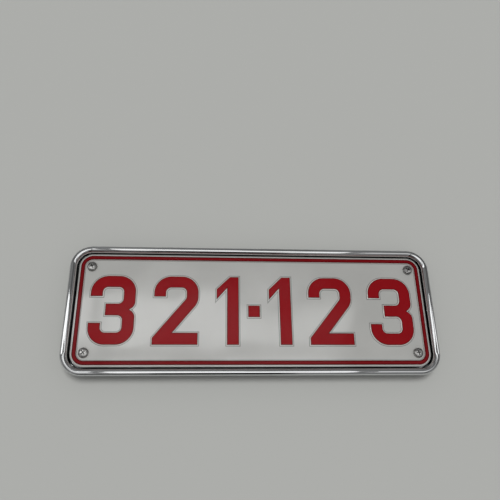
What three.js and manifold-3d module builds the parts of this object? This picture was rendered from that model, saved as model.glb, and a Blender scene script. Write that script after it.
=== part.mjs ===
// License plate holder, lying on its back with its face up.
// A chromed rim goes round a satin back panel. Four corner brackets stand on the panel and carry clip nuts,
// and four pan-head screws hold a number plate on them. X runs along the plate, Y up it, Z out of its face.
import * as THREE from 'three';
import { mergeVertices } from 'three/addons/utils/BufferGeometryUtils.js';
import Module from 'manifold-3d';

const wasm = await Module();
wasm.setup();

// Number plate
const plateLength = 340;
const plateWidth = 110;
const plateCornerRadius = 13;
const plateSheet = 1;
const plateHoleRadius = 2.9;
const borderMargin = 1.9;
const borderStripe = 3.4;
const borderRise = 0.8;
const borderSlope = 0.6;

// Rim, bent from one sheet: skirt outside, round bead on top, wall and ledge inside
const rimHeight = 17.5;
const rimSheet = 0.8;
const beadRadius = 3.1;
const skirtInset = 0.7;
const neckInset = 0.7;
const neckDrop = 1.4;
const wallDraft = 0.3;
const ledgeBend = 0.4;
const ledgeWidth = 1.8;
const plateEndGap = 1.85;
const plateSideGap = 1.1;
const plateFaceDepth = 4;

// Back panel, welded under the rim's ledge
const panelSheet = 0.8;
const panelRaise = 2.7;
const panelLap = 4.4;
const crossSlotFromScrew = 42;
const crossSlotLength = 30;
const crossSlotWidth = 6.5;
const crossSlotHeight = 5.2;
const crossBarLength = 36.6;
const crossBarWidth = 5.3;
const crossBarShift = 6.4;
const shortSlotFromScrew = 52.4;
const shortSlotDrop = 31.2;
const shortSlotLength = 18;
const shortSlotWidth = 6.5;
const drainHoleFromScrew = 32.4;
const drainHoleRadius = 2.4;

// Corner brackets
const screwFromPlateEnd = 12.5;
const screwFromPlateSide = 13;
const bracketLength = 13;
const bracketWidth = 12;
const bracketSheet = 1;
const bracketBend = 0.6;
const footLength = 3.2;
const bracketHoleRadius = 3.2;
const windowWidth = 5.6;
const windowHeightShare = 0.58;
const windowArchShare = 0.6;

// Clip nuts
const clipSheet = 0.6;
const clipSideGap = 0.3;
const clipReach = 10.5;
const clipEndGap = 0.3;
const pilotRadius = 2.1;
const plateRestGap = 0.3;

// Screws
const headRadius = 4.75;
const headHeight = 3;
const headRim = 0.9;
const recessLength = 5;
const recessWidth = 1.2;
const recessDepth = 1.9;
const shankClearance = 0.15;
const screwSeatGap = 0.2;
const tipLength = 2.6;
const tipRadius = 0.5;
const tipFloorGap = 0.7;

// Every cutter passes its piece by this much on each side
const overrun = 1;

// Steps of the round stretches
const cornerSteps = 4;
const beadSteps = 12;
const bendSteps = 3;
const holeSides = 20;
const roundSides = 28;
const crownSteps = 5;

// Places worked out from the sizes above
const rimWall = 2 * beadRadius + neckInset;
const rimLength = plateLength + 2 * (plateEndGap + rimWall);
const rimWidth = plateWidth + 2 * (plateSideGap + rimWall);
const rimCornerRadius = plateCornerRadius + plateSideGap + rimWall;
const beadCentre = rimHeight - beadRadius;
const floorTop = panelRaise + panelSheet;
const ledgeTop = floorTop + rimSheet;
const ledgeInset = rimWall + wallDraft + ledgeBend + ledgeWidth;
const plateFace = rimHeight - plateFaceDepth;
const plateUnderside = plateFace - plateSheet;
const clipTop = plateUnderside - plateRestGap;
const bracketTop = clipTop - clipSheet;
const clipWidth = bracketWidth - 2 * (bracketSheet + bracketBend + clipSideGap);
const screwX = plateLength / 2 - screwFromPlateEnd;
const screwY = plateWidth / 2 - screwFromPlateSide;
const shankRadius = pilotRadius - shankClearance;
const screwSeat = plateFace + screwSeatGap;
const shankLength = screwSeat - floorTop - tipFloorGap;

const corners = [
  { name: 'upper_left', x: -1, y: 1 },
  { name: 'upper_right', x: 1, y: 1 },
  { name: 'lower_left', x: -1, y: -1 },
  { name: 'lower_right', x: 1, y: -1 },
];

// Finishes
function finish(color, roughness, metalness) {
  return new THREE.MeshStandardMaterial({ color, roughness, metalness });
}

const chrome = () => finish(0xc9cccd, 0.08, 1);
const satinSteel = () => finish(0x9a9c9b, 0.4, 1);
const platedSteel = () => finish(0xa7a9a8, 0.25, 1);
const springSteel = () => finish(0x8b8e8d, 0.3, 1);
const plateEnamel = () => finish(0xd2d4cf, 0.4, 0);

// Outlines
function roundedRect(length, width, radius) {
  const x = length / 2 - radius;
  const y = width / 2 - radius;
  const shape = new THREE.Shape();
  shape.absarc(x, y, radius, 0, Math.PI / 2);
  shape.absarc(-x, y, radius, Math.PI / 2, Math.PI);
  shape.absarc(-x, -y, radius, Math.PI, 1.5 * Math.PI);
  shape.absarc(x, -y, radius, 1.5 * Math.PI, 2 * Math.PI);
  return shape;
}

function slotOutline(length, width) {
  const reach = (length - width) / 2;
  const shape = new THREE.Shape();
  shape.absarc(reach, 0, width / 2, -Math.PI / 2, Math.PI / 2);
  shape.absarc(-reach, 0, width / 2, Math.PI / 2, 1.5 * Math.PI);
  return shape;
}

function arcPoints(centreX, centreY, radius, from, to, steps) {
  const points = [];
  for (let i = 0; i <= steps; i += 1) {
    const angle = from + ((to - from) * i) / steps;
    points.push(new THREE.Vector2(centreX + radius * Math.cos(angle), centreY + radius * Math.sin(angle)));
  }
  return points;
}

// The back of a sheet whose face follows the points: each point moved square to the face, mitred at bends
function sheetBack(face, thickness) {
  return face.map((point, i) => {
    const before = point.clone().sub(face[Math.max(i - 1, 0)]).normalize();
    const after = face[Math.min(i + 1, face.length - 1)].clone().sub(point).normalize();
    const into = i === 0 ? after : before;
    const out = i === face.length - 1 ? before : after;
    const normal = new THREE.Vector2(into.y + out.y, -into.x - out.x).normalize();
    const mitre = normal.x * into.y - normal.y * into.x;
    return point.clone().addScaledVector(normal, thickness / mitre);
  });
}

// Solids
function extrude(shape, depth, curveSegments = cornerSteps) {
  return new THREE.ExtrudeGeometry(shape, { depth, bevelEnabled: false, curveSegments });
}

function manifoldOf(geometry) {
  const bare = geometry.clone();
  bare.deleteAttribute('normal');
  bare.deleteAttribute('uv');
  const merged = mergeVertices(bare);
  const vertProperties = new Float32Array(merged.attributes.position.array);
  const triVerts = new Uint32Array(merged.index.array);
  return new wasm.Manifold(new wasm.Mesh({ numProp: 3, vertProperties, triVerts }));
}

function geometryOf(solid) {
  const { numProp, vertProperties, triVerts } = solid.getMesh();
  const geometry = new THREE.BufferGeometry();
  geometry.setAttribute('position', new THREE.BufferAttribute(new Float32Array(vertProperties), numProp));
  geometry.setIndex(new THREE.BufferAttribute(new Uint32Array(triVerts), 1));
  geometry.computeVertexNormals();
  return geometry;
}

function cut(geometry, cutters) {
  let solid = manifoldOf(geometry);
  for (const cutter of cutters) {
    solid = solid.subtract(manifoldOf(cutter));
  }
  return geometryOf(solid);
}

function join(geometry, others) {
  let solid = manifoldOf(geometry);
  for (const other of others) {
    solid = solid.add(manifoldOf(other));
  }
  return geometryOf(solid);
}

// A closed section of (inset from the outline, height) points, carried round a rounded rectangle
function ringLoft(section, length, width, radius) {
  const rings = section.map((point) => {
    const outline = roundedRect(length - 2 * point.x, width - 2 * point.x, radius - point.x);
    return outline.getPoints(cornerSteps).map((p) => [p.x, p.y, point.y]);
  });
  const count = rings[0].length;
  const index = [];
  for (let i = 0; i < rings.length; i += 1) {
    const next = (i + 1) % rings.length;
    for (let j = 0; j < count; j += 1) {
      const side = (j + 1) % count;
      const a = i * count + j;
      const b = i * count + side;
      const c = next * count + side;
      const d = next * count + j;
      index.push(a, b, c, a, c, d);
    }
  }
  const geometry = new THREE.BufferGeometry();
  geometry.setAttribute('position', new THREE.Float32BufferAttribute(rings.flat(2), 3));
  geometry.setIndex(index);
  geometry.computeVertexNormals();
  return geometry;
}

function throughHole(radius, bottom, top, x = 0, y = 0) {
  const hole = new THREE.CylinderGeometry(radius, radius, top - bottom + 2 * overrun, holeSides);
  hole.rotateX(Math.PI / 2);
  return hole.translate(x, y, (top + bottom) / 2);
}

function piece(name, geometry, material) {
  const mesh = new THREE.Mesh(geometry, material);
  mesh.name = name;
  return mesh;
}

// Rim: its section runs up the skirt, over the bead, down the wall and in along the ledge
function rimFrame() {
  const under = Math.acos((beadRadius - skirtInset) / beadRadius);
  const wallFoot = rimWall + wallDraft;
  const face = [
    new THREE.Vector2(skirtInset, 0),
    ...arcPoints(beadRadius, beadCentre, beadRadius, Math.PI + under, 0, beadSteps),
    new THREE.Vector2(rimWall, beadCentre - neckDrop),
    ...arcPoints(wallFoot + ledgeBend, ledgeTop + ledgeBend, ledgeBend, Math.PI, 1.5 * Math.PI, bendSteps),
    new THREE.Vector2(ledgeInset, ledgeTop),
  ];
  const section = [...face, ...sheetBack(face, rimSheet).reverse()];
  return piece('rim_frame', ringLoft(section, rimLength, rimWidth, rimCornerRadius), chrome());
}

// Back panel with its bolt slots: a cross and a short slot near each end, and four small holes
function backPanel() {
  const inset = ledgeInset - panelLap;
  const outline = roundedRect(rimLength - 2 * inset, rimWidth - 2 * inset, rimCornerRadius - inset);
  const sheet = extrude(outline, panelSheet);
  const cutters = [];
  const slot = (length, width, x, y, turn) => {
    const cutter = extrude(slotOutline(length, width), panelSheet + 2 * overrun);
    cutters.push(cutter.rotateZ(turn).translate(x, y, -overrun));
  };
  for (const side of [-1, 1]) {
    const crossX = side * (screwX - crossSlotFromScrew);
    slot(crossSlotLength, crossSlotWidth, crossX, crossSlotHeight, Math.PI / 2);
    slot(crossBarLength, crossBarWidth, crossX - side * crossBarShift, crossSlotHeight, 0);
    slot(shortSlotLength, shortSlotWidth, side * (screwX - shortSlotFromScrew), -shortSlotDrop, Math.PI / 2);
    for (const end of [-1, 1]) {
      const holeX = side * (screwX - drainHoleFromScrew);
      cutters.push(throughHole(drainHoleRadius, 0, panelSheet, holeX, end * screwY));
    }
  }
  const mesh = piece('back_panel', cut(sheet, cutters), satinSteel());
  mesh.position.z = panelRaise;
  return mesh;
}

// Corner bracket: a strip bent to a bridge along Y, with a foot at each end and an arch through each leg
function cornerBracket(corner) {
  const height = bracketTop - floorTop;
  const half = bracketWidth / 2;
  const toe = half + footLength;
  const inner = bracketBend;
  const outer = bracketBend + bracketSheet;
  const face = [
    new THREE.Vector2(-toe, bracketSheet),
    ...arcPoints(-half - inner, bracketSheet + inner, inner, -Math.PI / 2, 0, bendSteps),
    ...arcPoints(outer - half, height - outer, outer, Math.PI, Math.PI / 2, bendSteps),
    ...arcPoints(half - outer, height - outer, outer, Math.PI / 2, 0, bendSteps),
    ...arcPoints(half + inner, bracketSheet + inner, inner, Math.PI, 1.5 * Math.PI, bendSteps),
    new THREE.Vector2(toe, bracketSheet),
  ];
  const outline = new THREE.Shape([...face, ...sheetBack(face, bracketSheet).reverse()]);
  const strip = extrude(outline, bracketLength);
  const alongX = new THREE.Matrix4().makeBasis(
    new THREE.Vector3(0, 1, 0),
    new THREE.Vector3(0, 0, 1),
    new THREE.Vector3(1, 0, 0),
  );
  strip.applyMatrix4(alongX).translate(-bracketLength / 2, 0, 0);
  const windowHeight = height * windowHeightShare;
  const archRise = windowHeight * windowArchShare;
  const archShape = new THREE.Shape();
  archShape.moveTo(windowWidth / 2, -overrun);
  archShape.absellipse(0, windowHeight - archRise, windowWidth / 2, archRise, 0, Math.PI);
  archShape.lineTo(-windowWidth / 2, -overrun);
  const arch = extrude(archShape, 2 * (toe + overrun));
  arch.rotateX(Math.PI / 2).translate(0, toe + overrun, 0);
  const hole = throughHole(bracketHoleRadius, height - bracketSheet, height);
  const mesh = piece(`corner_bracket_${corner.name}`, cut(strip, [arch, hole]), platedSteel());
  mesh.position.set(corner.x * screwX, corner.y * screwY, floorTop);
  return mesh;
}

// Clip nut: a spring strip folded round the bracket's inner edge, with a pilot hole through both arms
function clipNut(corner) {
  const grip = bracketSheet / 2;
  const bendX = -bracketLength / 2 - clipEndGap;
  const endX = bendX + clipReach;
  const outline = new THREE.Shape([
    new THREE.Vector2(endX, grip + clipSheet),
    ...arcPoints(bendX, 0, grip + clipSheet, Math.PI / 2, 1.5 * Math.PI, 2 * bendSteps),
    new THREE.Vector2(endX, -grip - clipSheet),
    new THREE.Vector2(endX, -grip),
    ...arcPoints(bendX, 0, grip, 1.5 * Math.PI, Math.PI / 2, 2 * bendSteps),
    new THREE.Vector2(endX, grip),
  ]);
  const strip = extrude(outline, clipWidth);
  strip.rotateX(Math.PI / 2).translate(0, clipWidth / 2, 0);
  const hole = throughHole(pilotRadius, -grip - clipSheet, grip + clipSheet);
  const mesh = piece(`clip_nut_${corner.name}`, cut(strip, [hole]), springSteel());
  mesh.rotation.z = corner.x > 0 ? 0 : Math.PI;
  mesh.position.set(corner.x * screwX, corner.y * screwY, bracketTop - grip);
  return mesh;
}

// Number plate: one sheet with a raised border stripe and four holes
function numberPlate() {
  const sheet = extrude(roundedRect(plateLength, plateWidth, plateCornerRadius), plateSheet);
  const stripe = (inset, low, high, narrow) => ringLoft(
    [
      new THREE.Vector2(inset, low),
      new THREE.Vector2(inset + narrow, high),
      new THREE.Vector2(inset + borderStripe - narrow, high),
      new THREE.Vector2(inset + borderStripe, low),
    ],
    plateLength,
    plateWidth,
    plateCornerRadius,
  );
  const raised = stripe(borderMargin, plateSheet / 2, plateSheet + borderRise, borderSlope);
  const hollow = stripe(borderMargin, -overrun, borderRise, borderSlope);
  const holes = corners.map((corner) => (
    throughHole(plateHoleRadius, 0, plateSheet, corner.x * screwX, corner.y * screwY)
  ));
  const mesh = piece('number_plate', cut(join(sheet, [raised]), [hollow, ...holes]), plateEnamel());
  mesh.position.z = plateUnderside;
  return mesh;
}

// Screw: a pan head over a plain shank with a tapered tip, turned about its own axis, with a cross recess
function plateScrew(corner) {
  const crown = new THREE.EllipseCurve(0, headRim, headRadius, headHeight - headRim, 0, Math.PI / 2);
  const dome = crown.getPoints(crownSteps);
  dome[crownSteps].x = 0;
  const profile = [
    new THREE.Vector2(0, -shankLength),
    new THREE.Vector2(tipRadius, -shankLength),
    new THREE.Vector2(shankRadius, tipLength - shankLength),
    new THREE.Vector2(shankRadius, 0),
    new THREE.Vector2(headRadius, 0),
    ...dome,
  ];
  const screw = new THREE.LatheGeometry(profile, roundSides).rotateX(Math.PI / 2);
  const recess = [0, Math.PI / 2].map((turn) => {
    const bar = new THREE.BoxGeometry(recessLength, recessWidth, 2 * recessDepth);
    return bar.rotateZ(turn).translate(0, 0, headHeight);
  });
  const mesh = piece(`plate_screw_${corner.name}`, cut(screw, recess), platedSteel());
  mesh.position.set(corner.x * screwX, corner.y * screwY, screwSeat);
  return mesh;
}

const group = new THREE.Group();
group.add(rimFrame(), backPanel());
for (const corner of corners) {
  group.add(cornerBracket(corner), clipNut(corner));
}
group.add(numberPlate());
for (const corner of corners) {
  group.add(plateScrew(corner));
}

export default group;
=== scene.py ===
"""Dresses a license plate holder: a chromed rim, a satin tray, and a number plate screwed to its brackets.

Lengths are in metres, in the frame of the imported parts: X along the plate, Y up it, Z out of its face.
"""

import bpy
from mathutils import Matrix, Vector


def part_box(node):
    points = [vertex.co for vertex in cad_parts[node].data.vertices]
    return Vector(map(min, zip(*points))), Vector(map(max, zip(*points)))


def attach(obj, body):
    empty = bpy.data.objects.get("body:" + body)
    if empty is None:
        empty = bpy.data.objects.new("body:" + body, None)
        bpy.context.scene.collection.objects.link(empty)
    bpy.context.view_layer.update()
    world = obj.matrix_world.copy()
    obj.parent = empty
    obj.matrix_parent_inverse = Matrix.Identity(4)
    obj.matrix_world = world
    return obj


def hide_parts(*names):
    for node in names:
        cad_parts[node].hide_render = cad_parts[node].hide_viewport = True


bl_info = {
    "name": "License Plate Holder",
    "version": (1, 0, 0),
    "blender": (4, 5, 0),
    "location": "View3D > Sidebar > Plate Holder",
    "description": "Makes the rim, tray, brackets, clip nuts, number plate and screws round the packed parts",
    "category": "Add Mesh",
}

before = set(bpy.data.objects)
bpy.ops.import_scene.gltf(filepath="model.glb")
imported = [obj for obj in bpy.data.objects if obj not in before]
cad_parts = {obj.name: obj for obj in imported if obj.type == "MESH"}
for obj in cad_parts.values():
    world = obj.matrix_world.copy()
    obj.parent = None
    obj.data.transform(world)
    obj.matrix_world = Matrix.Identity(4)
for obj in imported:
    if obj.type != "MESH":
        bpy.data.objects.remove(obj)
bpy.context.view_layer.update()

import math

import bmesh
import bpy
from bmesh.types import BMEdge, BMFace, BMVert
from bpy.props import FloatProperty, FloatVectorProperty, PointerProperty
from mathutils import Matrix, Quaternion, Vector

MM = 0.001
ALONG = Vector((1, 0, 0))
ACROSS = Vector((0, 1, 0))
OUT = Vector((0, 0, 1))
QUARTER = math.pi / 2
WELD_DISTANCE = 0.002 * MM
LEVEL = 0.999  # a level face's normal rises at least this far
CORNER_STEPS = 28
BEAD_STEPS = 26
FOLD_STEPS = 14
CUT_STEPS = 8
BEND_STEPS = 6
WINDOW_STEPS = 12
SLOPE_STEPS = 4
TURN_STEPS = 48

rim_low, rim_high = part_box("rim_frame")
panel_low, panel_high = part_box("back_panel")
bracket_low, bracket_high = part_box("corner_bracket_upper_right")
clip_low, clip_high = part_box("clip_nut_upper_right")
plate_low, plate_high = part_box("number_plate")
screw_low, screw_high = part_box("plate_screw_upper_right")
screw_place = (screw_low + screw_high) / 2

CORNERS = {
    f"{end}_{side}": Vector((x * screw_place.x, y * screw_place.y, 0))
    for end, y in (("upper", 1), ("lower", -1))
    for side, x in (("left", -1), ("right", 1))
}
SCREW_TURNS = (24, 62, 41, 8)  # degrees, in the order of the corners


def length(name, about, mm):
    return FloatProperty(name=name, description=about, default=mm * MM, min=0, unit="LENGTH", precision=5)


def angle(name, about, degrees):
    return FloatProperty(name=name, description=about, default=math.radians(degrees), subtype="ANGLE")


def share(name, about, default):
    return FloatProperty(name=name, description=about, default=default, min=0, max=1, subtype="FACTOR")


def colour(name, about, default):
    return FloatVectorProperty(
        name=name, description=about, default=default, size=3, min=0, max=1, subtype="COLOR",
    )


class RimSizes(bpy.types.PropertyGroup):
    length: length("Length", "Over the bead, along the plate", (rim_high.x - rim_low.x) / MM)
    width: length("Width", "Over the bead, up the plate", (rim_high.y - rim_low.y) / MM)
    height: length("Height", "From the skirt's edge to the bead's crown", rim_high.z / MM)
    corner_radius: length("Corner radius", "Over the bead", 21)
    skirt_inset: length("Skirt inset", "From the bead's outside to the skirt", 0.7)
    skirt_fillet: length("Skirt fillet", "Between the skirt and the bead", 0.8)
    bead_radius: length("Bead radius", "Of the round bead", 3.1)
    shoulder_tilt: angle("Shoulder tilt", "Of the bead's inner shoulder from upright", 26)
    shoulder_length: length("Shoulder length", "Straight stretch of the shoulder", 1.5)
    neck_radius: length("Neck radius", "Between the shoulder and the wall", 1.3)
    wall_inset: length("Wall inset", "From the outside to the inner wall's foot", 7.2)
    ledge_bend: length("Ledge bend", "Between the wall and the ledge", 0.4)
    ledge_top: length("Ledge height", "Up to the ledge's face", 4.3)
    ledge_inset: length("Ledge inset", "From the outside to the ledge's edge", 9.4)
    sheet: length("Sheet", "Thickness of the chromed sheet", 0.8)


class PanelSizes(bpy.types.PropertyGroup):
    corner_radius: length("Corner radius", "Of the panel", 16)
    cross_from_middle: length("Cross place", "From the panel's middle to the upright slot", 115.5)
    cross_height: length("Cross height", "From the panel's middle up to the cross", 5.2)
    upright_length: length("Upright slot length", "Over its round ends", 30)
    upright_width: length("Upright slot width", "Across the slot", 6.5)
    level_length: length("Level slot length", "Over its round ends", 36.6)
    level_width: length("Level slot width", "Across the slot", 5.3)
    level_shift: length("Level slot shift", "How far it lies nearer the middle", 6.4)
    short_from_middle: length("Short slot place", "From the panel's middle", 105.1)
    short_drop: length("Short slot drop", "Below the panel's middle", 31.2)
    short_length: length("Short slot length", "Over its round ends", 18)
    short_width: length("Short slot width", "Across the slot", 6.5)
    hole_from_middle: length("Small hole place", "From the panel's middle", 125.1)
    hole_radius: length("Small hole radius", "Of the four small holes", 2.4)


class BracketSizes(bpy.types.PropertyGroup):
    width: length("Bridge width", "Over the two legs", 12)
    sheet: length("Sheet", "Thickness of the strip", 1)
    bend: length("Bend", "Inside radius of each bend", 0.6)
    hole_radius: length("Hole radius", "Of the hole under the screw", 3.2)
    window_width: length("Window width", "Of the arch through each leg", 5.6)
    window_height: length("Window height", "Of the arch over the feet", 4.7)


class ClipSizes(bpy.types.PropertyGroup):
    sheet: length("Sheet", "Thickness of the spring strip", 0.6)
    reach: length("Reach", "Length of each arm from the fold", 10.5)
    pilot_radius: length("Pilot radius", "Of the hole that the screw bites into", 2.1)


class PlateSizes(bpy.types.PropertyGroup):
    corner_radius: length("Corner radius", "Of the plate", 13)
    sheet: length("Sheet", "Thickness of the plate", 1)
    hole_radius: length("Hole radius", "Of the four screw holes", 2.9)
    margin: length("Margin", "White edge outside the border stripe", 1.4)
    stripe: length("Border stripe", "Width of the raised border at its foot", 4.7)
    stripe_slope: length("Stripe slope", "Width of the border's slopes", 0.5)
    rise: length("Rise", "How far the border and numerals stand proud", 0.78)
    film: length("Film", "Thickness of the red film", 0.02)
    # The four rings below carry painted shade: the films are painted darker across them, at the numerals' and
    # border's edges, at the slope feet and at the plate's outer edge.
    numeral_shade_ring: length("Edge ring", "Width of the numerals' darker edge", 0.5)
    stripe_shade_ring: length("Stripe ring", "Width of the border's darker edge", 1.3)
    foot_shade_ring: length("Foot ring", "Width of the dull line at each slope's foot", 0.75)
    outer_shade_ring: length("Dull edge", "Width of the plate's dull outer edge", 0.75)
    numeral_height: length("Numeral height", "Height of the red face", 66.6)
    numeral_drop: length("Numeral drop", "Below the plate's middle", 1)
    dot_drop: length("Dot drop", "Below the plate's middle", 2.1)
    numeral_width: length("Numeral width", "Width of a full numeral", 42)
    one_width: length("Narrow width", "Width of the numeral one", 21)
    stroke: length("Stroke", "Width of the numerals' strokes", 10.8)
    bowl_radius: length("Bowl radius", "Outside the numerals' corners", 16)
    terminal: length("Terminal", "From a numeral's top down to a stroke's end", 20)
    numeral_slope: length("Numeral slope", "Width of the numerals' slopes", 1.2)
    reach: length("Reach", "From the plate's middle to the outermost numeral's edge", 156)
    dot_gap: length("Dot gap", "From the plate's middle to the innermost numeral's edge", 15)
    dot: length("Dot", "Side of the square dot", 10.8)


class ScrewSizes(bpy.types.PropertyGroup):
    head_radius: length("Head radius", "Of the pan head", 4.75)
    head_height: length("Head height", "Of the pan head", 3)
    head_rim: length("Head rim", "Upright edge of the head under its crown", 0.9)
    crown_radius: length("Crown bend", "Between the head's edge and its crown", 2.1)
    core_radius: length("Core radius", "Of the shank inside its thread", 1.6)
    thread_radius: length("Thread radius", "Over the thread", 2.05)
    thread_pitch: length("Thread pitch", "Rise of one turn", 1.4)
    tip_length: length("Tip length", "Of the tapered tip", 2.6)
    recess_length: length("Recess length", "Across the cross recess", 6.6)
    recess_width: length("Recess width", "Of each wing of the recess", 1.5)
    recess_depth: length("Recess depth", "Of the cross recess", 1.8)


class FinishColours(bpy.types.PropertyGroup):
    chrome: colour("Chrome", "Polished chrome plate", (0.66, 0.67, 0.675))
    satin: colour("Satin steel", "Rolled steel sheet of the tray", (0.303, 0.318, 0.31))
    zinc: colour("Zinc", "Plated brackets", (0.45, 0.46, 0.46))
    spring: colour("Spring steel", "Plated clip nuts", (0.3, 0.31, 0.312))
    white: colour("Plate white", "White film of the plate", (0.359, 0.359, 0.344))
    sheet: colour("Plate sheet", "Bare sheet of the plate's back and edge", (0.42, 0.42, 0.425))
    red: colour("Plate red", "Red film of the numerals and border", (0.2, 0.004, 0.0068))
    screw: colour("Screw steel", "Plated screws", (0.74, 0.73, 0.71))
    floor: colour("Floor", "Pale grey paint of the floor", (0.413, 0.418, 0.402))


class StageSettings(bpy.types.PropertyGroup):
    floor_side: length("Floor side", "Side of the square floor", 8000)
    ambient: share("Ambient", "The room's light on matt surfaces", 0.48)
    dim_walls: share("Dim walls", "The room's dark parts as metal shows them", 0.09)
    dark_corner: share("Dark corner", "The room's darkest part, behind the camera", 0.01)
    pale_walls: share("Pale walls", "The room's pale parts as metal shows them", 0.27)
    key_strength: FloatProperty(name="Key strength", description="Of the key light", default=1.695, min=0)
    key_tilt: angle("Key tilt", "How far the key light leans towards the plate's top", 11)
    key_spread: angle("Key spread", "Softness of the key light", 22)
    panel_height: length("Panel height", "Of the lit panels that gloss shows", 520)


# Each lit panel's name, power to the square metre, and reach along X and Y.
PANELS = (
    ("panel_over_camera", 3.5, (-0.236, 0.238), (-0.36, 0.03)),
    ("panel_ahead_right", 3.3, (0.02, 0.238), (0.07, 0.155)),
    ("panel_ahead_left", 4.7, (-0.236, 0.02), (0.07, 0.155)),
    ("panel_beside_right", 1.65, (0.274, 0.5), (-0.36, 0.03)),
    ("panel_beside_left", 1.95, (-0.5, -0.268), (-0.36, 0.03)),
    ("window_right", 4.4, (0.4, 0.8), (0.05, 0.15)),
    ("window_left", 5.0, (-0.9, -0.268), (0.05, 0.172)),
)
GROUPS = {
    "holder_rim": RimSizes,
    "holder_panel": PanelSizes,
    "holder_bracket": BracketSizes,
    "holder_clip": ClipSizes,
    "holder_plate": PlateSizes,
    "holder_screw": ScrewSizes,
    "holder_finish": FinishColours,
    "holder_stage": StageSettings,
}


class Line:
    """A line of edges in one plane, drawn on from its last point as a strip is bent on from its last bend."""

    def __init__(self, bm, start, heading, normal=OUT):
        self.bm = bm
        self.normal = Vector(normal)
        self.heading = Vector(heading).normalized()
        self.first = bmesh.ops.create_vert(bm, co=start)["vert"][0]
        self.last = self.first

    def forward(self, run):
        self.last = bmesh.ops.extrude_vert_indiv(self.bm, verts=[self.last])["verts"][0]
        move(self.bm, [self.last], self.heading * run)
        return self

    def turn(self, bend, radius=0.0, bend_steps=FOLD_STEPS):
        """Turns left by a positive angle, on the spot or round a radius."""
        if radius:
            left = self.normal.cross(self.heading)
            centre = self.last.co + left * math.copysign(radius, bend)
            spun = bmesh.ops.spin(
                self.bm, geom=[self.last], cent=centre, axis=self.normal, angle=bend, steps=bend_steps,
            )
            self.last = only(spun["geom_last"], BMVert)[0]
        self.heading = Quaternion(self.normal, bend) @ self.heading
        return self

    def to(self, point):
        way = Vector(point) - self.last.co
        self.heading = way.normalized()
        return self.forward(way.length)

    def until(self, axis, value):
        """Goes straight on to where one coordinate has this value."""
        return self.forward((value - self.last.co[axis]) / self.heading[axis])

    def join(self, other):
        bmesh.ops.contextual_create(self.bm, geom=[self.last, other])


def only(parts, kind):
    """The parts of a mesh that are of one kind."""
    return [part for part in parts if isinstance(part, kind)]


def once(parts):
    """Each part once, in an order that is the same in every run, as a set's is not."""
    return list(dict.fromkeys(parts))


def move(bm, parts, way):
    bmesh.ops.translate(bm, verts=only(parts, BMVert), vec=way)


def drawn_since(bm, known):
    """The edges that were not there before."""
    return [edge for edge in bm.edges if edge not in known]


def pull(bm, edges, way):
    """Draws edges out into faces and returns the edges at their far side."""
    moved = bmesh.ops.extrude_edge_only(bm, edges=edges)["geom"]
    move(bm, moved, way)
    return only(moved, BMEdge)


def weld(bm):
    bmesh.ops.remove_doubles(bm, verts=bm.verts, dist=WELD_DISTANCE)


def face_up(bm):
    """Turns all faces alike, the highest one looking up."""
    bmesh.ops.recalc_face_normals(bm, faces=bm.faces)
    highest = max(bm.faces, key=lambda face: face.calc_center_median().z)
    if highest.normal.z < 0:
        bmesh.ops.reverse_faces(bm, faces=bm.faces)


def draw_rounded_rect(bm, size, radius, centre, corner_steps=2 * CUT_STEPS):
    """Draws a rounded rectangle, from the near end of its right side, and returns its edges."""
    known = set(bm.edges)
    right = Vector(centre) + Vector((size[0] / 2, radius - size[1] / 2, 0))
    line = Line(bm, right, ACROSS)
    for run in (size[1], size[0]) * 2:
        line.forward(run - 2 * radius)
        line.turn(QUARTER, radius, corner_steps)
    return close_outline(bm, line, known)


def close_outline(bm, line, known):
    """Welds the end of a line to its start and returns the edges that are new."""
    bmesh.ops.pointmerge(bm, verts=[line.first, line.last], merge_co=line.first.co)
    short = [edge for edge in drawn_since(bm, known) if edge.calc_length() < WELD_DISTANCE]
    bmesh.ops.collapse(bm, edges=short)
    return drawn_since(bm, known)


def draw_circle(bm, centre, radius, sides=5 * CUT_STEPS, turn=0.0):
    """Draws a ring of edges and returns them."""
    known = set(bm.edges)
    place = Matrix.Translation(centre) @ Matrix.Rotation(turn, 4, "Z")
    bmesh.ops.create_circle(bm, segments=sides, radius=radius, matrix=place)
    return drawn_since(bm, known)


def fill(bm, edges):
    """Fills an outline round its holes, facing up, and returns the faces."""
    faces = only(bmesh.ops.triangle_fill(bm, use_beauty=True, edges=edges)["geom"], BMFace)
    bmesh.ops.reverse_faces(bm, faces=[face for face in faces if face.normal.z < 0])
    return faces


def punch(bm, faces, centre, radius):
    """Cuts a round hole through a flat stretch of faces."""
    flat = bmesh.ops.dissolve_faces(bm, faces=faces)["region"]
    edges = once(edge for face in flat for edge in face.edges)
    bmesh.ops.delete(bm, geom=flat, context="FACES_ONLY")
    bmesh.ops.triangle_fill(bm, use_beauty=True, edges=edges + draw_circle(bm, centre, radius))


def draw_in(bm, faces, width, rise=0.0):
    """Draws a flat region in from its outline, raises it and returns the ring of faces left round it."""
    return bmesh.ops.inset_region(
        bm, faces=faces, use_boundary=True, use_even_offset=True, thickness=width, depth=rise,
    )["faces"]


def emboss(bm, faces, slope, rise, ring):
    """Raises a flat region on soft slopes and returns its uppermost slope and the ring round its face, the
    ring that carries the film's painted shade.
    """
    shoulder = []
    for i in range(SLOPE_STEPS):
        low, high = (smooth(k / SLOPE_STEPS) for k in (i, i + 1))
        shoulder = draw_in(bm, faces, slope / SLOPE_STEPS, rise * (high - low))
    return shoulder + draw_in(bm, faces, ring)


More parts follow.
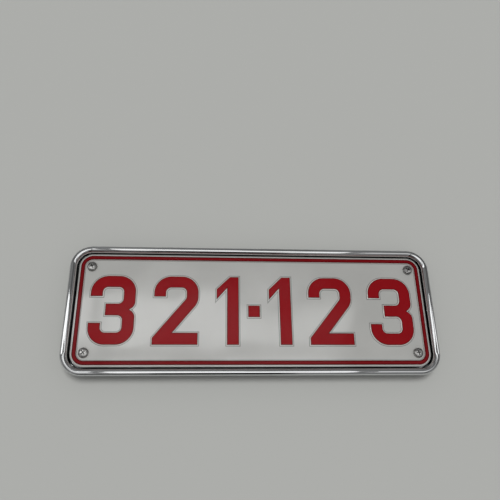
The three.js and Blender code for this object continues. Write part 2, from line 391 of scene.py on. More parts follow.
def mark_painted_shade(bm, faces):
    """Marks the points where these faces meet a slope, and the open edges, in the edge layer along which the
    films get painted shade.
    """
    mark = bm.verts.layers.float.new("edge")
    bm.normal_update()
    edge_verts = {vert for face in faces for vert in face.verts}
    for vert in bm.verts:
        sloped = any(face.normal.z < LEVEL for face in vert.link_faces)
        vert[mark] = float(sloped and vert in edge_verts or vert.is_boundary)


def smooth(t):
    return t * t * (3 - 2 * t)


def adjust(item, **settings):
    """Gives a thing its settings and returns it."""
    for name, value in settings.items():
        setattr(item, name, value)
    return item


def mesh_of(bm, name):
    """Ends a bmesh in a mesh of this name."""
    mesh = bpy.data.meshes.new(name)
    bm.to_mesh(mesh)
    bm.free()
    return mesh


def add_object(name, data):
    made = bpy.data.objects.new(name, data)
    bpy.context.scene.collection.objects.link(made)
    return made


def make_object(bm, name, body, finish, flat_up=False):
    """Makes a smooth piece of a bmesh, or one whose level faces stay flat."""
    for face in bm.faces:
        face.smooth = not (flat_up and abs(face.normal.z) > LEVEL)
    return show(mesh_of(bm, name), name, body, finish)


def show(mesh, name, body, finish):
    """Makes a piece that rides on its body and takes its slot and finish."""
    piece = add_object(name, mesh)
    mesh.materials.append(finish_of(finish))
    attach(piece, body)
    return piece


def thicken(piece, sheet, edge=0.12 * MM):
    """Gives a sheet its thickness behind its face and breaks its cut edges."""
    sharp = math.radians(50)
    wall = piece.modifiers.new("sheet", "SOLIDIFY")
    adjust(wall, thickness=sheet, offset=-1, use_even_offset=True)
    bevel = piece.modifiers.new("broken_edges", "BEVEL")
    adjust(bevel, width=edge, segments=2, limit_method="ANGLE", angle_limit=sharp)
    piece.modifiers.new("even_shading", "WEIGHTED_NORMAL").keep_sharp = True


class Value:
    """One output of a node tree, on which Python's operators add Math nodes."""

    def __init__(self, shader, socket):
        self.shader = shader
        self.socket = socket

    def math(self, operation, *others):
        return self.shader.node("ShaderNodeMath", {"operation": operation}, dict(enumerate((self, *others))))

    def __add__(self, other):
        return self.math("ADD", other)

    def __sub__(self, other):
        return self.math("SUBTRACT", other)

    def __rsub__(self, other):
        return self.shader.node("ShaderNodeMath", {"operation": "SUBTRACT"}, {0: other, 1: self})

    def __mul__(self, other):
        return self.math("MULTIPLY", other)

    def __pow__(self, other):
        return self.math("POWER", other)

    def __abs__(self):
        return self.math("ABSOLUTE")

    __radd__ = __add__
    __rmul__ = __mul__


class Shader:
    """A material or world whose nodes are written as expressions."""

    def __init__(self, owner):
        owner.use_nodes = True
        self.tree = owner.node_tree
        self.tree.nodes.clear()

    def node(self, kind, settings=None, inputs=None, output=0):
        """Adds a node, sets it up, feeds its inputs and returns one of its outputs."""
        made = adjust(self.tree.nodes.new(kind), **(settings or {}))
        for key, value in (inputs or {}).items():
            if isinstance(value, Value):
                self.tree.links.new(value.socket, made.inputs[key])
            else:
                made.inputs[key].default_value = value
        return Value(self, made.outputs[output]) if made.outputs else None

    def place(self):
        return self.node("ShaderNodeTexCoord", output="Object")

    def parts(self, vector):
        return (self.node("ShaderNodeSeparateXYZ", None, {0: vector}, output=i) for i in range(3))

    def upright(self):
        """1 on a level face, less on a slope."""
        _, _, level = self.parts(self.node("ShaderNodeTexCoord", output="Normal"))
        return level

    def mark(self, name):
        """A number kept on the mesh's points."""
        return self.node("ShaderNodeAttribute", {"attribute_name": name}, output="Fac")

    def noise(self, scale, detail=2, roughness=0.5, place=None):
        """Noise on the piece's own coordinates or another place, of one scale or of one along each axis."""
        place = place or self.place()
        if isinstance(scale, tuple):
            place = self.node("ShaderNodeVectorMath", {"operation": "MULTIPLY"}, {0: place, 1: scale})
            scale = 1
        inputs = {"Vector": place, "Scale": scale, "Detail": detail, "Roughness": roughness}
        return self.node("ShaderNodeTexNoise", None, inputs)

    def ramp(self, value, low, high):
        """0 below low, 1 above high and smooth between them."""
        settings = {"interpolation_type": "SMOOTHSTEP"}
        inputs = {"Value": value, "From Min": low, "From Max": high}
        return self.node("ShaderNodeMapRange", settings, inputs)

    def mix(self, factor, first, second):
        """Blends two colours."""
        return self.node("ShaderNodeMix", {"data_type": "RGBA"}, {0: factor, 6: first, 7: second}, output=2)

    def shades(self, factor, tint, first, second):
        """Blends two levels of one colour."""
        return self.mix(factor, opaque(tint, first), opaque(tint, second))

    def bump(self, height, depth, under=None):
        inputs = {"Height": height, "Distance": depth, "Strength": 1.0}
        if under:
            inputs["Normal"] = under
        return self.node("ShaderNodeBump", None, inputs)

    def surface(self, **sockets):
        """Ends the material in one Principled shader, its sockets named with underscores."""
        inputs = {name.replace("_", " "): value for name, value in sockets.items()}
        shader = self.node("ShaderNodeBsdfPrincipled", None, inputs)
        self.node("ShaderNodeOutputMaterial", None, {"Surface": shader})


def finish_of(make):
    """The material that a finish function makes, named after it and made on first use."""
    material = bpy.data.materials.get(make.__name__)
    if not material:
        material = bpy.data.materials.new(make.__name__)
        make(Shader(material), bpy.context.scene.holder_finish)
    return material


def opaque(tint, *levels):
    """A colour without transparency, at one level or at one for each channel."""
    levels = levels * 3 if len(levels) == 1 else levels
    return (*(part * level for part, level in zip(tint, levels)), 1)


def distance(across, along):
    return (across * across + along * along) ** 0.5


def polished_chrome(shader, colours):
    """Mirror chrome on a rolled strip: faint waves, thin polishing lines and a dull bloom in places."""
    wave = shader.noise(38, detail=1)
    bloom = shader.ramp(shader.noise(55, detail=5, roughness=0.6), 0.48, 0.75)
    lines = shader.noise((160, 160, 2600), detail=3)
    shader.surface(
        Base_Color=shader.shades(bloom * 0.5, colours.chrome, 1, 0.9),
        Metallic=1.0,
        Roughness=0.035 + bloom * 0.07 + lines * 0.02,
        Normal=shader.bump(lines, 0.002 * MM, shader.bump(wave, 0.25 * MM)),
    )


def satin_sheet(shader, colours):
    """Rolled sheet with its grain along the plate, water marks and the rings of the spot welds."""
    weld_from_end = 1.6 * MM
    weld_edge = 2.2 * MM
    weld_middle = 1.5 * MM
    grain = shader.noise((18, 1500, 1500), detail=4, roughness=0.7)
    fine = shader.noise((60, 5200, 5200))
    stain = shader.ramp(shader.noise(14, detail=5, roughness=0.62), 0.52, 0.7)
    x, y, _ = shader.parts(shader.place())
    along = abs(abs(y) - screw_place.y) - (bracket_high.y - bracket_low.y) / 2 + weld_from_end
    weld_ring = shader.ramp(distance(abs(x) - screw_place.x, along), weld_edge, weld_middle)
    tint = shader.shades(grain, colours.satin, 0.9, 1.1)
    shader.surface(
        Base_Color=shader.mix(stain * 0.35 + weld_ring * 0.4, tint, opaque(colours.satin, 0.78)),
        Metallic=1.0,
        Roughness=0.34 + grain * 0.12 + stain * 0.1 + weld_ring * 0.15,
        Normal=shader.bump(weld_ring, -0.12 * MM, shader.bump(grain * 0.6 + fine * 0.4, 0.012 * MM)),
    )


def bright_zinc(shader, colours):
    """Zinc plate on folded strip: cloudy patches over fine pits."""
    cloud = shader.noise(260, detail=4, roughness=0.6)
    pits = shader.ramp(shader.noise(2600), 0.6, 0.75)
    shader.surface(
        Base_Color=shader.shades(cloud, colours.zinc, 0.82, 1.15),
        Metallic=1.0,
        Roughness=0.24 + cloud * 0.2 + pits * 0.1,
        Normal=shader.bump(pits, -0.01 * MM, shader.bump(cloud, 0.05 * MM)),
    )


def spring_steel(shader, colours):
    """Hardened strip: darker, with drawn lines along its arms and a hint of temper colour."""
    lines = shader.noise((300, 4200, 300), detail=3)
    temper = shader.ramp(shader.noise(180, detail=3), 0.5, 0.7)
    straw = opaque(colours.spring, 1.05, 0.93, 0.78)
    shader.surface(
        Base_Color=shader.mix(temper * 0.6, opaque(colours.spring, 1), straw),
        Metallic=1.0,
        Roughness=0.27 + lines * 0.16,
        Normal=shader.bump(lines, 0.01 * MM),
    )


def pressed_film(shader, grain_depth):
    """A film's fine grain over the faint pillows of the pressed sheet under it."""
    pillow = shader.bump(shader.noise(16, detail=1), 2 * MM)
    return shader.bump(shader.noise(1900), grain_depth, pillow)


def white_film(shader, colours):
    """White plate film: faint clouds, fine grain and a little dust; a painted highlight and a painted pink
    reflection on the slopes; painted shade, with some dirt, at the slope feet, round the holes and at the
    outer edge; the back and cut edge are bare sheet.
    """
    cloud = shader.noise(22, detail=3)
    dust = shader.ramp(shader.noise(420, detail=5, roughness=0.7), 0.62, 0.8)
    upright = shader.upright()
    # Painted highlight: the slopes are painted lighter and pinker than the field, standing in for the light
    # and the red film's reflection that they catch.
    slope = shader.ramp(upright, 0.97, 0.85)
    bare = shader.ramp(upright, 0.3, 0.15)
    rolled = shader.noise((14, 900, 900), detail=4, roughness=0.7)
    tint = shader.shades(cloud, colours.white, 0.9, 1.12)
    tint = shader.mix(slope, tint, opaque(colours.white, 1.5, 1.36, 1.34))
    # Painted shade, with some dirt: the film is painted darker along the marked slope feet, round the holes
    # and at the plate's outer edge.
    tint = shader.mix(dust * 0.12 + shader.mark("edge") * 0.95, tint, opaque(colours.white, 0.2))
    sheet = shader.shades(rolled, colours.sheet, 0.85, 1.1)
    shader.surface(
        Base_Color=shader.mix(bare, tint, sheet),
        Metallic=bare,
        Roughness=0.1 + cloud * 0.07 + dust * 0.12 + bare * (0.12 + rolled * 0.12),
        IOR=1.7,
        Specular_IOR_Level=0.82,
        Normal=pressed_film(shader, 0.004 * MM),
    )


def border_film(shader, colours):
    """The red film on the border, its colour made darker than on the numerals."""
    red_film(shader, colours, 0.68)


def red_film(shader, colours, depth=1.0):
    """Hot-stamped red film: slightly streaky, with a soft gloss and painted shade darkening it towards its
    edges.
    """
    streak = shader.noise((48, 48, 1.6), detail=4, roughness=0.6)
    worn = shader.ramp(shader.noise(150, detail=5, roughness=0.7), 0.6, 0.78)
    tint = shader.shades(streak, colours.red, 0.86 * depth, 1.16 * depth)
    tint = shader.mix(worn * 0.25, tint, opaque(colours.red, 1.5 * depth))
    shader.surface(
        # Painted shade: the red is painted darker towards the marked edges of the numerals and border.
        Base_Color=shader.mix(shader.mark("edge") * 0.9, tint, opaque(colours.red, 0.22)),
        Metallic=0.0,
        Roughness=0.14 + streak * 0.08 + worn * 0.1,
        Specular_IOR_Level=0.12,
        Normal=pressed_film(shader, 0.003 * MM),
    )


def plated_screw(shader, colours):
    """Plated screw: turned rings on the head, random dark patches, and painted shade: a dark ring on the
    crown and darkening deep in the recess, which also darkens the thread.
    """
    ring_pitch = 0.35 * MM
    x, y, z = shader.parts(shader.place())
    radius = distance(abs(x) - screw_place.x, abs(y) - screw_place.y)
    rings = (radius * (2 * math.pi / ring_pitch)).math("SINE")
    cloud = shader.noise(520, detail=4, roughness=0.65)
    # Painted shade: the recess floor and the thread are painted darker, and so is a ring round the crown; the
    # cloud term below adds random dirt.
    depth = shader.ramp(z, screw_high.z - 0.2 * MM, screw_high.z - 0.9 * MM)
    middle = 1 - shader.ramp(radius, 2.4 * MM, 2.9 * MM)
    crown = shader.ramp(radius, 1.5 * MM, 3.1 * MM)
    grime_and_shade = shader.ramp(cloud, 0.4, 0.6) * 0.35 + depth * middle * 0.9 + crown * 0.55
    shader.surface(
        Base_Color=shader.shades(grime_and_shade, colours.screw, 1.1, 0.2),
        Metallic=1.0,
        Roughness=0.13 + cloud * 0.1 + grime_and_shade * 0.2,
        Normal=shader.bump(rings, 0.004 * MM, shader.bump(cloud, 0.03 * MM)),
    )


def floor_paint(shader, colours):
    """Matt pale paint with a hardly visible grain."""
    shader.surface(
        Base_Color=shader.shades(shader.noise(900), colours.floor, 0.985, 1),
        Roughness=0.9,
        Specular_IOR_Level=0.0,
    )


def carry_round(bm, size, radius):
    """Carries the section, drawn at the right side's near end, round a rounded rectangle to its start."""
    section = list(bm.edges)
    heading = ACROSS.copy()
    for run, x, y in zip((size[1], size[0]) * 2, (1, -1, -1, 1), (1, 1, -1, -1)):
        section = pull(bm, section, heading * (run - 2 * radius))
        corner = (x * (size[0] / 2 - radius), y * (size[1] / 2 - radius), 0)
        spun = bmesh.ops.spin(bm, geom=section, cent=corner, axis=OUT, angle=QUARTER, steps=CORNER_STEPS)
        section = only(spun["geom_last"], BMEdge)
        heading = Quaternion(OUT, QUARTER) @ heading
    weld(bm)
    face_up(bm)


class HOLDER_OT_rim(bpy.types.Operator):
    """Bend the rim's section out of sheet and carry it round the tray"""

    bl_idname = "holder.rim"
    bl_label = "Rim"

    def execute(self, context):
        rim = context.scene.holder_rim
        bm = bmesh.new()
        self.draw_section(bm, rim)
        carry_round(bm, (rim.length, rim.width), rim.corner_radius)
        piece = make_object(bm, "chrome_rim", "holder", polished_chrome)
        thicken(piece, rim.sheet)
        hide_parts("rim_frame")
        return {"FINISHED"}

    @staticmethod
    def draw_section(bm, rim):
        """Draws the sheet's face: up the skirt, over the bead, down the wall and in along the ledge."""
        outside = rim.length / 2
        near = rim.corner_radius - rim.width / 2
        reach = rim.bead_radius + rim.skirt_fillet
        lean = math.acos((reach - rim.skirt_inset) / reach)
        skirt_top = rim.height - rim.bead_radius - reach * math.sin(lean)
        line = Line(bm, (outside - rim.skirt_inset, near, 0), OUT, normal=ACROSS)
        line.forward(skirt_top)
        line.turn(lean, rim.skirt_fillet, BEND_STEPS)
        line.turn(rim.shoulder_tilt - math.pi - lean, rim.bead_radius, BEAD_STEPS)
        line.forward(rim.shoulder_length)
        line.turn(-rim.shoulder_tilt, rim.neck_radius, BEND_STEPS)
        line.to((outside - rim.wall_inset, near, rim.ledge_top + rim.ledge_bend))
        line.turn(line.heading.angle(-ALONG), rim.ledge_bend, BEND_STEPS)
        line.to((outside - rim.ledge_inset, near, line.last.co.z))


class HOLDER_OT_panel(bpy.types.Operator):
    """Cut the back panel with its bolt slots and small holes"""

    bl_idname = "holder.panel"
    bl_label = "Back panel"

    def execute(self, context):
        panel = context.scene.holder_panel
        bm = bmesh.new()
        size = panel_high - panel_low
        draw_rounded_rect(bm, size, panel.corner_radius, (0, 0, panel_high.z))
        for side in (-1, 1):
            self.draw_cross(bm, panel, side)
            short = (side * panel.short_from_middle, -panel.short_drop, panel_high.z)
            short_size = (panel.short_width, panel.short_length)
            draw_rounded_rect(bm, short_size, panel.short_width / 2, short, CUT_STEPS)
            for end in (-1, 1):
                place = (side * panel.hole_from_middle, end * screw_place.y, panel_high.z)
                draw_circle(bm, place, panel.hole_radius, 4 * CUT_STEPS)
        fill(bm, bm.edges)
        piece = make_object(bm, "tray_panel", "holder", satin_sheet)
        thicken(piece, size.z, edge=0.1 * MM)
        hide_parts("back_panel")
        return {"FINISHED"}

    @staticmethod
    def draw_cross(bm, panel, side):
        """Draws an upright slot crossed by a level one, arm by arm."""
        known = set(bm.edges)
        half_upright = panel.upright_width / 2
        half_level = panel.level_width / 2
        rise = panel.upright_length / 2 - half_upright - half_level
        run = panel.level_length / 2 - half_upright - half_level
        shift = side * panel.level_shift
        start = (side * panel.cross_from_middle + half_upright, panel.cross_height + half_level, panel_high.z)
        line = Line(bm, start, ACROSS)
        arms = (
            (rise, half_upright),
            (run + shift, half_level),
            (rise, half_upright),
            (run - shift, half_level),
        )
        for arm, half in arms:
            line.forward(arm).turn(2 * QUARTER, half, 2 * CUT_STEPS).forward(arm).turn(-QUARTER)
        close_outline(bm, line, known)


class HOLDER_OT_brackets(bpy.types.Operator):
    """Bend the four corner brackets"""

    bl_idname = "holder.brackets"
    bl_label = "Corner brackets"

    def execute(self, context):
        bracket = context.scene.holder_bracket
        for corner, place in CORNERS.items():
            bm = bmesh.new()
            self.bend_bridge(bm, bracket)
            move(bm, bm.verts, place + OUT * bracket_low.z)
            piece = make_object(bm, f"bracket_{corner}", "holder", bright_zinc)
            thicken(piece, bracket.sheet)
            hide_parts(f"corner_bracket_{corner}")
        return {"FINISHED"}

    @staticmethod
    def bend_bridge(bm, bracket):
        """Bends the strip's face over the bridge, opens an arch in each leg and punches the hole."""
        size = bracket_high - bracket_low
        half = bracket.width / 2
        outer = bracket.bend + bracket.sheet
        foot = (size.y - bracket.width) / 2 - bracket.bend
        left = -size.x / 2
        line = Line(bm, (left, -size.y / 2, bracket.sheet), ACROSS, normal=ALONG)
        line.forward(foot).turn(QUARTER, bracket.bend, BEND_STEPS)
        line.forward(size.z - outer - line.last.co.z).turn(-QUARTER, outer, BEND_STEPS)
        line.forward(2 * (half - outer)).turn(-QUARTER, outer, BEND_STEPS)
        line.forward(size.z - outer - bracket.sheet - bracket.bend).turn(QUARTER, bracket.bend, BEND_STEPS)
        line.forward(foot)
        window = bracket.window_width / 2
        turns = [math.pi * i / WINDOW_STEPS for i in range(WINDOW_STEPS + 1)]
        columns = [-window * math.cos(turn) for turn in turns] + [-left]
        section = list(bm.edges)
        reached = left
        for column in columns:
            section = pull(bm, section, ALONG * (column - reached))
            reached = column
        spring = bracket.sheet + bracket.bend
        arch = bracket.window_height - spring
        opened = [
            face for face in bm.faces
            if abs(face.calc_center_median().x) < window and face.calc_center_median().z < spring
        ]
        bmesh.ops.delete(bm, geom=opened, context="FACES")
        for vert in bm.verts:
            inside = 1 - (vert.co.x / window) ** 2
            if inside > 0 and abs(vert.co.z - spring) < WELD_DISTANCE:
                vert.co.z += arch * math.sqrt(inside)
        face_up(bm)
        flat = [face for face in bm.faces if face.calc_center_median().z > size.z - WELD_DISTANCE]
        punch(bm, flat, (0, 0, size.z), bracket.hole_radius)
        face_up(bm)


class HOLDER_OT_clips(bpy.types.Operator):
    """Fold the four clip nuts round their brackets"""

    bl_idname = "holder.clips"
    bl_label = "Clip nuts"

    def execute(self, context):
        clip = context.scene.holder_clip
        for corner, place in CORNERS.items():
            bm = bmesh.new()
            self.fold_strip(bm, clip)
            about = Matrix.Rotation(0 if place.x > 0 else math.pi, 3, "Z")
            bmesh.ops.rotate(bm, verts=bm.verts, matrix=about)
            move(bm, bm.verts, place)
            piece = make_object(bm, f"clip_{corner}", "holder", spring_steel)
            thicken(piece, clip.sheet, edge=0.08 * MM)
            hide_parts(f"clip_nut_{corner}")
        return {"FINISHED"}

    @staticmethod
    def fold_strip(bm, clip):
        """Folds the strip's outer face: in along the upper arm, round the fold and out along the lower."""
        size = clip_high - clip_low
        end = clip_high.x - screw_place.x
        line = Line(bm, (end, -size.y / 2, clip_high.z), -ALONG, normal=ACROSS)
        line.forward(clip.reach).turn(-2 * QUARTER, size.z / 2, FOLD_STEPS).forward(clip.reach)
        pull(bm, bm.edges, ACROSS * size.y)
        for height in (clip_high.z, clip_low.z):
            arm = [face for face in bm.faces if abs(face.calc_center_median().z - height) < WELD_DISTANCE]
            punch(bm, arm, (0, 0, height), clip.pilot_radius)
        face_up(bm)


class Numeral:
    """The outlines of the embossed numerals at their foot, each drawn round its own middle."""

    def __init__(self, bm, plate):
        slope = plate.numeral_slope
        self.bm = bm
        self.width = plate.numeral_width + 2 * slope
        self.one_width = plate.one_width + 2 * slope
        self.top = plate.numeral_height / 2 + slope
        self.stroke = plate.stroke + 2 * slope
        self.bowl = plate.bowl_radius + slope
        self.counter = self.bowl - self.stroke
        self.terminal = plate.terminal + 2 * slope
        self.level = self.width - 2 * self.bowl
        self.hang = self.terminal - self.bowl

    def line(self, x, y, heading):
        return Line(self.bm, (x, y, 0), heading)

    def draw(self, shape, middle):
        """Draws a numeral, moves it to its middle and returns its edges."""
        known = set(self.bm.edges)
        shape()
        edges = drawn_since(self.bm, known)
        move(self.bm, once(vert for edge in edges for vert in edge.verts), middle)
        return edges

    def one(self):
        right = self.one_width / 2
        left = right - self.stroke
        flag = self.top - self.stroke
        flag_start = left + self.stroke / 4
        flag_foot = flag - self.stroke / 8
        line = self.line(right, -self.top, ACROSS)
        line.to((right, self.top, 0)).to((flag_start, self.top, 0)).to((-right, flag, 0))
        line.to((-right, flag - self.stroke, 0)).to((left, flag_foot, 0))
        line.to((left, -self.top, 0)).join(line.first)

    def two(self):
        right = self.width / 2
        slant = math.radians(39)
        drop = 4 * MM
        shelf = self.stroke - self.top
        lines = []
        for side, radius in ((-right, self.bowl), (self.stroke - right, self.counter)):
            line = self.line(side, self.top - self.terminal, ACROSS)
            line.forward(self.hang).turn(-QUARTER, radius)
            line.forward(self.level).turn(-QUARTER, radius)
            line.forward(drop).turn(-slant, radius)
            lines.append(line)
        outer, inner = lines
        outer.until(1, shelf).to((right, shelf, 0)).to((right, -self.top, 0)).to((-right, -self.top, 0))
        inner.until(0, -right)
        outer.join(inner.last)
        inner.last = inner.first
        inner.join(outer.first)

    def three(self):
        """Draws the upper half, from the notch between the bowls to the middle bar, and mirrors it."""
        known = set(self.bm.edges)
        right = self.width / 2
        notch_radius = 9 * MM
        notch = math.radians(60)
        bend = 4 * MM
        bar_end = -right / 3
        line = self.line(
            right - notch_radius * (1 - math.cos(notch)), 0, (math.sin(notch), math.cos(notch), 0),
        )
        line.turn(notch, notch_radius).until(1, self.top - self.bowl)
        line.turn(QUARTER, self.bowl).forward(self.level).turn(QUARTER, self.bowl)
        line.forward(self.hang).turn(QUARTER).forward(self.stroke).turn(QUARTER)
        line.forward(self.hang).turn(-QUARTER, self.counter)
        line.forward(self.level).turn(-QUARTER, self.counter)
        line.until(1, self.stroke / 2 + bend).turn(-QUARTER, bend)
        line.until(0, bar_end).turn(QUARTER).until(1, 0)
        half = drawn_since(self.bm, known)
        verts = once(vert for edge in half for vert in edge.verts)
        bmesh.ops.mirror(self.bm, geom=verts + half, axis="Y", merge_dist=WELD_DISTANCE)


class HOLDER_OT_plate(bpy.types.Operator):
    """Emboss the number plate and lay the red film on its border and numerals"""

    bl_idname = "holder.plate"
    bl_label = "Number plate"

    def execute(self, context):
        plate = context.scene.holder_plate
        bm = bmesh.new()
        size = plate_high - plate_low
        face = plate_low.z + plate.sheet
        edge, outer, inner = (
            draw_rounded_rect(
                bm, (size.x - 2 * inset, size.y - 2 * inset), plate.corner_radius - inset, (0, 0, face),
            )
            for inset in (0, plate.margin, plate.margin + plate.stripe)
        )
        numerals = self.draw_numerals(bm, plate, face)
        holes = [draw_circle(bm, place + OUT * face, plate.hole_radius) for place in CORNERS.values()]
        numeral_faces = sum((fill(bm, outline) for outline in numerals), [])
        field = fill(bm, sum(numerals + holes, inner))
        margin = fill(bm, edge + outer)
        stripe_faces = fill(bm, outer + inner)
        # Rings at the slope feet, round the holes and at the plate's outer edge, across which the white film
        # gets painted shade.
        feet = draw_in(bm, field, plate.foot_shade_ring)
        draw_in(bm, margin, plate.outer_shade_ring)
        # Each film's name, faces, slope width, ring of painted shade and finish.
        films = (
            ("plate_numerals", numeral_faces, plate.numeral_slope, plate.numeral_shade_ring, red_film),
            ("plate_border", stripe_faces, plate.stripe_slope, plate.stripe_shade_ring, border_film),
        )
        for name, faces, slope, ring, finish in films:
            shoulder = emboss(bm, faces, slope, plate.rise, ring)
            self.lay_film(bm, name, faces + shoulder, plate.film, finish)
        mark_painted_shade(bm, feet)
        self.thicken_plate(bm, plate.sheet)
        piece = make_object(bm, "plate_sheet", "plate", white_film, flat_up=True)
        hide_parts("number_plate")
        return {"FINISHED"}

    @staticmethod
    def draw_numerals(bm, plate, face):
        """Draws 321, a square dot and 123, evenly spaced each side of the dot."""
        three_at = plate.reach - plate.numeral_width / 2
        one_at = plate.dot_gap + plate.one_width / 2
        gap = (plate.reach - plate.dot_gap - 2 * plate.numeral_width - plate.one_width) / 2
        two_at = plate.dot_gap + plate.one_width + gap + plate.numeral_width / 2
        numeral = Numeral(bm, plate)
        places = ((numeral.three, three_at), (numeral.two, two_at), (numeral.one, one_at))
        outlines = [
            numeral.draw(shape, (side * place, -plate.numeral_drop, face))
            for side in (-1, 1) for shape, place in places
        ]
        side = plate.dot + 2 * plate.numeral_slope
        dot = draw_circle(bm, (0, -plate.dot_drop, face), side / math.sqrt(2), sides=4, turn=QUARTER / 2)
        return outlines + [dot]

    @staticmethod
    def lay_film(bm, name, faces, film, finish):
        """Copies the raised faces and their shoulder as a thin closed film, marked round its edge for painted
        shade.
        """
        bm.faces.index_update()
        covered = {face.index for face in faces}
        sheet = bm.copy()
        sheet.faces.index_update()
        rest = [face for face in sheet.faces if face.index not in covered]
        bmesh.ops.delete(sheet, geom=rest, context="FACES")
        mark_painted_shade(sheet, sheet.faces)
        top = bmesh.ops.extrude_face_region(sheet, geom=sheet.faces[:])["geom"]
        move(sheet, top, OUT * film)
        piece = make_object(sheet, name, "plate", finish, flat_up=True)
        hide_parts("number_plate")

    @staticmethod
    def thicken_plate(bm, sheet):
        """Draws the embossed face out to a sheet, its back pressed like its front."""
        front = set(only(bmesh.ops.extrude_face_region(bm, geom=bm.faces[:])["geom"], BMVert))
        back = [vert for vert in bm.verts if vert not in front]
        move(bm, back, OUT * -sheet)


class HOLDER_OT_screws(bpy.types.Operator):
    """Turn the four pan-head screws, with a thread and a cross recess"""

    bl_idname = "holder.screws"
    bl_label = "Plate screws"

    def execute(self, context):
        screw = context.scene.holder_screw
        turned = self.turned_screw(screw)
        for (corner, place), degrees in zip(CORNERS.items(), SCREW_TURNS):
            name = f"screw_{corner}"
            mesh = turned.copy()
            mesh.name = name
            seat = Matrix.Translation(place + OUT * (screw_high.z - screw.head_height))
            mesh.transform(seat @ Matrix.Rotation(math.radians(degrees), 4, "Z"))
            piece = show(mesh, name, name, plated_screw)
            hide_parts(f"plate_screw_{corner}")
        bpy.data.meshes.remove(turned)
        return {"FINISHED"}

    def turned_screw(self, screw):
        """The screw's mesh about its own axis, its head's underside at height 0."""
        tip_radius = 0.4 * MM
        head_break = 0.15 * MM
        crown_rise = 0.06 * MM
        crown_sweep = math.radians(62)
        crown_flat = screw.head_radius / 4
        sharp = math.radians(35)
        bm = bmesh.new()
        shank = screw_high.z - screw_low.z - screw.head_height
        line = Line(bm, (0, 0, -shank), ALONG, normal=-ACROSS)
        line.forward(tip_radius).to((screw.core_radius, 0, screw.tip_length - shank))
        line.to((screw.core_radius, 0, 0)).to((screw.head_radius - head_break, 0, 0))
        line.to((screw.head_radius, 0, head_break)).to((screw.head_radius, 0, screw.head_rim))
        line.turn(crown_sweep, screw.crown_radius, BEND_STEPS + 1)
        line.to((crown_flat, 0, screw.head_height - crown_rise)).to((0, 0, screw.head_height))
        bmesh.ops.spin(
            bm, geom=bm.verts[:] + bm.edges[:], cent=(0, 0, 0), axis=OUT, angle=4 * QUARTER,
            steps=TURN_STEPS, use_merge=True,
        )
        weld(bm)
        bmesh.ops.recalc_face_normals(bm, faces=bm.faces)
        for face in bm.faces:
            face.smooth = True
        for edge in bm.edges:
            edge.smooth = edge.calc_face_angle(0) < sharp
        return self.cut_recess(mesh_of(bm, "turned_screw"), screw, shank)

    def cut_recess(self, head, screw, shank):
        """Cuts the cross recess into the head with a tapered punch, then winds the thread on."""
        taper = 0.45
        bm = bmesh.new()
        cube = bmesh.ops.create_cube(bm, size=screw.recess_width)["verts"]
        bmesh.ops.scale(bm, verts=cube, vec=(1, 1, 2 * screw.recess_depth / screw.recess_width))
        wing = (screw.recess_length - screw.recess_width) / 2
        for face in [face for face in bm.faces if abs(face.normal.z) < 0.5]:
            way = face.normal.copy()
            moved = bmesh.ops.extrude_discrete_faces(bm, faces=[face])["faces"]
            move(bm, moved[0].verts, way * wing)
        weld(bm)
        bmesh.ops.scale(bm, verts=[vert for vert in bm.verts if vert.co.z < 0], vec=(taper, taper, 1))
        move(bm, bm.verts, OUT * screw.head_height)
        bmesh.ops.recalc_face_normals(bm, faces=bm.faces)
        cutter = add_object("recess_punch", mesh_of(bm, "recess_punch"))
        blank = add_object("screw_blank", head)
        cut = blank.modifiers.new("recess", "BOOLEAN")
        adjust(cut, operation="DIFFERENCE", solver="EXACT", object=cutter)
        graph = bpy.context.evaluated_depsgraph_get()
        mesh = bpy.data.meshes.new_from_object(blank.evaluated_get(graph))
        for spare in (cutter.data, head):
            bpy.data.meshes.remove(spare)
        bm = bmesh.new()
        bm.from_mesh(mesh)
        self.wind_thread(bm, screw, shank)
        bm.to_mesh(mesh)
        bm.free()
        return mesh

    @staticmethod
    def wind_thread(bm, screw, shank):
        """Winds a triangular thread up the straight of the shank."""
        known = set(bm.verts)
        base = screw.core_radius - 0.1 * MM
        crest = 0.04 * MM
        low = screw.tip_length - shank
        half = 0.38 * screw.thread_pitch
        line = Line(bm, (base, 0, low - half), ALONG, normal=-ACROSS)
        line.to((screw.thread_radius, 0, low - crest)).to((screw.thread_radius, 0, low + crest))
        line.to((base, 0, low + half))
        line.join(line.first)
        profile = [vert for vert in bm.verts if vert not in known]
        edges = once(edge for vert in profile for edge in vert.link_edges)
        turns = (shank - screw.tip_length - half) / screw.thread_pitch
        count = int(turns * TURN_STEPS)
        rise = screw.thread_pitch / TURN_STEPS
        bmesh.ops.spin(
            bm, geom=profile + edges, cent=(0, 0, 0), axis=OUT, dvec=OUT * rise,
            angle=4 * QUARTER * count / TURN_STEPS, steps=count,
        )
        thread = [vert for vert in bm.verts if vert not in known]
        ends = once(edge for vert in thread for edge in vert.link_edges if edge.is_boundary)
        bmesh.ops.holes_fill(bm, edges=ends)
        bmesh.ops.recalc_face_normals(bm, faces=once(face for vert in thread for face in vert.link_faces))


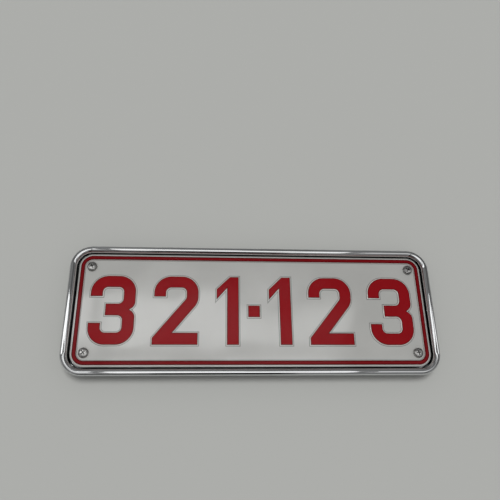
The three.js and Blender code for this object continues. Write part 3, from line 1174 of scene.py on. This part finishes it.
class HOLDER_OT_stage(bpy.types.Operator):
    """Set the pale floor, the soft lamps, the room and the camera"""

    bl_idname = "holder.stage"
    bl_label = "Stage"

    def execute(self, context):
        stage = context.scene.holder_stage
        self.lay_floor(stage)
        self.hang_lamps(stage)
        self.light_room(context.scene, stage)
        self.set_camera(context.scene)
        context.scene.view_settings.view_transform = "Standard"
        return {"FINISHED"}

    @staticmethod
    def lay_floor(stage):
        bm = bmesh.new()
        bmesh.ops.create_grid(bm, x_segments=1, y_segments=1, size=stage.floor_side / 2)
        floor = add_object("floor", mesh_of(bm, "floor"))
        floor.data.materials.append(finish_of(floor_paint))

    @staticmethod
    def hang_lamps(stage):
        """Hangs a soft key light, which only matt surfaces see, and lit panels, which only gloss sees."""
        lamps = bpy.data.lights
        key = adjust(lamps.new("key_light", "SUN"), energy=stage.key_strength, angle=stage.key_spread)
        hung = add_object("key_light", key)
        adjust(hung, rotation_euler=(-stage.key_tilt, 0, 0), visible_glossy=False)
        for name, power, x_range, y_range in PANELS:
            size = [high - low for low, high in (x_range, y_range)]
            panel = adjust(lamps.new(name, "AREA"), shape="RECTANGLE", size=size[0], size_y=size[1])
            panel.energy = power * panel.size * panel.size_y
            hung = add_object(name, panel)
            hung.location = (sum(x_range) / 2, sum(y_range) / 2, stage.panel_height)
            adjust(hung, visible_diffuse=False, visible_camera=False)

    @staticmethod
    def light_room(scene, stage):
        """Lights the room evenly, and shows metal a dimmer one with dark and pale parts."""
        scene.world = bpy.data.worlds.new("room")
        shader = Shader(scene.world)
        even, dim, pale, black = (
            (level, level, level, 1)
            for level in (stage.ambient, stage.dim_walls, stage.pale_walls, stage.dark_corner)
        )
        direction = shader.node("ShaderNodeTexCoord", output="Generated")
        patches = shader.ramp(shader.noise(2.4, detail=1, place=direction), 0.4, 0.6)
        across, back, _ = shader.parts(direction)
        corner = shader.ramp(back, -0.2, -0.4) * shader.ramp(abs(across - 0.02), 0.17, 0.1)
        walls = shader.mix(corner, shader.mix(patches, dim, pale), black)
        level = shader.mix(shader.node("ShaderNodeLightPath", output="Is Glossy Ray"), even, walls)
        room = shader.node("ShaderNodeBackground", None, {"Color": level, "Strength": 1.0})
        shader.node("ShaderNodeOutputWorld", None, {"Surface": room})

    @staticmethod
    def set_camera(scene):
        """Stands the camera where the plate's corners put it, at the photograph's angle."""
        place = Vector((-0.0413, -0.1320, 0.4984))
        forward = Vector((0.0731, 0.3704, -0.926)).normalized()
        right = Vector((0.9972, -0.0136, 0.0733))
        right = (right - forward * right.dot(forward)).normalized()
        turned = Matrix((right, right.cross(forward), -forward)).transposed().to_4x4()
        lens = adjust(bpy.data.cameras.new("view"), sensor_width=36, lens=37.23, clip_start=0.01)
        scene.camera = add_object("view", lens)
        scene.camera.matrix_world = Matrix.Translation(place) @ turned


class HOLDER_PT_sidebar(bpy.types.Panel):
    """Lists the holder's pieces and their sizes"""

    bl_idname = "HOLDER_PT_sidebar"
    bl_label = "License Plate Holder"
    bl_space_type = "VIEW_3D"
    bl_region_type = "UI"
    bl_category = "Plate Holder"

    def draw(self, context):
        for operator in OPERATORS:
            self.layout.operator(operator.bl_idname)
        for attribute, group in GROUPS.items():
            box = self.layout.box()
            for name in group.__annotations__:
                box.prop(getattr(context.scene, attribute), name)


OPERATORS = (
    HOLDER_OT_rim,
    HOLDER_OT_panel,
    HOLDER_OT_brackets,
    HOLDER_OT_clips,
    HOLDER_OT_plate,
    HOLDER_OT_screws,
    HOLDER_OT_stage,
)
CLASSES = (*GROUPS.values(), *OPERATORS, HOLDER_PT_sidebar)


def register():
    for item in CLASSES:
        bpy.utils.register_class(item)
    for attribute, group in GROUPS.items():
        setattr(bpy.types.Scene, attribute, PointerProperty(type=group))


def unregister():
    for attribute in GROUPS:
        delattr(bpy.types.Scene, attribute)
    for item in reversed(CLASSES):
        bpy.utils.unregister_class(item)


def main():
    register()
    bpy.ops.holder.rim()
    bpy.ops.holder.panel()
    bpy.ops.holder.brackets()
    bpy.ops.holder.clips()
    bpy.ops.holder.plate()
    bpy.ops.holder.screws()
    bpy.ops.holder.stage()


if __name__ == "__main__":
    main()
